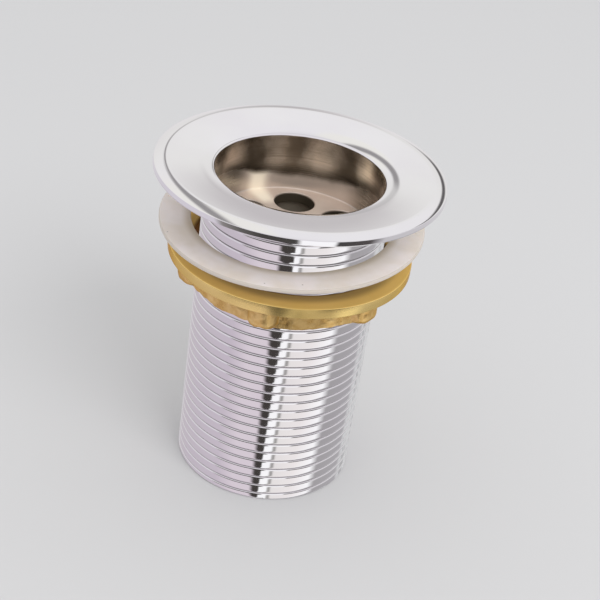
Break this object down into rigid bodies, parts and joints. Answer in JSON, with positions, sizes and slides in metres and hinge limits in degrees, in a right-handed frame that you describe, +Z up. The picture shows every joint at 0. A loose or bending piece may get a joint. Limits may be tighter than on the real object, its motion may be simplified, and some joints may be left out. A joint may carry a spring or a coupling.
{
  "type": "basin waste",
  "caption": "Chromed basin waste with a rounded flange, a cup with a pierced floor and a threaded shank that carries a loose seal washer and a lugged brass back nut.",
  "frame": {"origin": "centre of the shank's lower end, on the surface that it stands on", "axes": "+Z up the axis towards the flange, -Y towards the picture's camera"},
  "size_m": [0.0624, 0.0624, 0.0745],
  "materials": {
    "chrome_plate": "polished plate, dull nickel inside the cup",
    "white_plastic": "milky satin",
    "cast_brass": "satin turned face, rough cast lugs"
  },
  "bodies": {
    "waste": {"waste_body": "chrome_plate"},
    "washer": {"seal_washer": "white_plastic"},
    "nut": {"back_nut": "cast_brass"}
  },
  "joints": [
    {"name": "washer_slide", "type": "slide", "parent": "waste", "child": "washer", "axis": [0, 0, 1], "range_m": [-0.0463, 0.0097]},
    {"name": "nut_turn", "type": "hinge", "parent": "washer", "child": "nut", "pos_m": [0, 0, 0.0514], "axis": [0, 0, 1], "range_deg": [-7200, 1500]}
  ],
  "couplings": [
    {"joint": "washer_slide", "follows": "nut_turn", "m_per_rad": 0.00036749}
  ]
}
